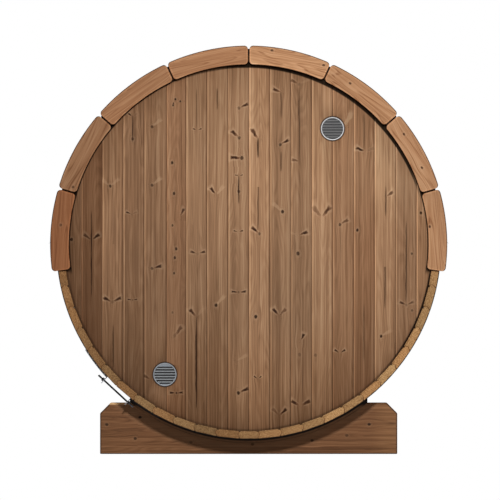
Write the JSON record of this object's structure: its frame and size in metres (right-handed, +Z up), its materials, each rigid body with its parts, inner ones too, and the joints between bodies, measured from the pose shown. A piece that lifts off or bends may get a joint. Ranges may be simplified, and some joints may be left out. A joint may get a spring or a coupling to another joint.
{
  "type": "barrel sauna",
  "caption": "Round outdoor sauna cabin of heat-treated timber staves in steel bands, with an arched trim on each end, vented board walls, a felt roof and two cradles.",
  "frame": {"origin": "on the ground, under the middle of the barrel", "axes": "+Z up; +Y along the barrel from the back end with the vents to the door end; +X right, seen from the back end"},
  "size_m": [2.0796, 1.8, 2.1242],
  "materials": {
    "stave_wood": "planed heat-treated softwood with golden end grain",
    "wall_wood": "planed heat-treated softwood boards with knots",
    "trim_wood": "smooth planed heat-treated softwood, rounded edges",
    "cradle_wood": "darker heat-treated softwood",
    "vent_metal": "satin aluminium",
    "band_steel": "stainless strip, satin",
    "black_steel": "matt black coated steel",
    "bitumen_felt": "mineral surfaced bitumen felt",
    "pad_rubber": "matt black rubber"
  },
  "bodies": {
    "root": {"floor_staves": "stave_wood", "left_lower_staves": "stave_wood", "right_lower_staves": "stave_wood", "left_upper_staves": "stave_wood", "right_upper_staves": "stave_wood", "crown_staves": "stave_wood", "back_wall_left": "wall_wood", "back_wall_right": "wall_wood", "front_wall_left": "wall_wood", "front_wall_right": "wall_wood", "front_wall_over_door": "wall_wood", "front_wall_under_door": "wall_wood", "door_jamb_left": "trim_wood", "door_jamb_right": "trim_wood", "door_head": "trim_wood", "door_sill": "trim_wood", "door_leaf": "wall_wood", "door_ledges": "wall_wood", "door_hinges": "black_steel", "door_handle": "trim_wood", "upper_vent": "vent_metal", "lower_vent": "vent_metal", "upper_vent_sleeve": "vent_metal", "lower_vent_sleeve": "vent_metal", "back_trim_left": "trim_wood", "back_trim_right": "trim_wood", "front_trim_left": "trim_wood", "front_trim_right": "trim_wood", "roof_felt": "bitumen_felt", "left_eave_flashing": "black_steel", "right_eave_flashing": "black_steel", "back_band": "band_steel", "front_band": "band_steel", "back_tension_ears": "band_steel", "front_tension_ears": "band_steel", "back_tension_rod": "black_steel", "front_tension_rod": "black_steel", "back_cradle": "cradle_wood", "front_cradle": "cradle_wood", "back_cradle_pad": "pad_rubber", "front_cradle_pad": "pad_rubber"}
  },
  "joints": []
}
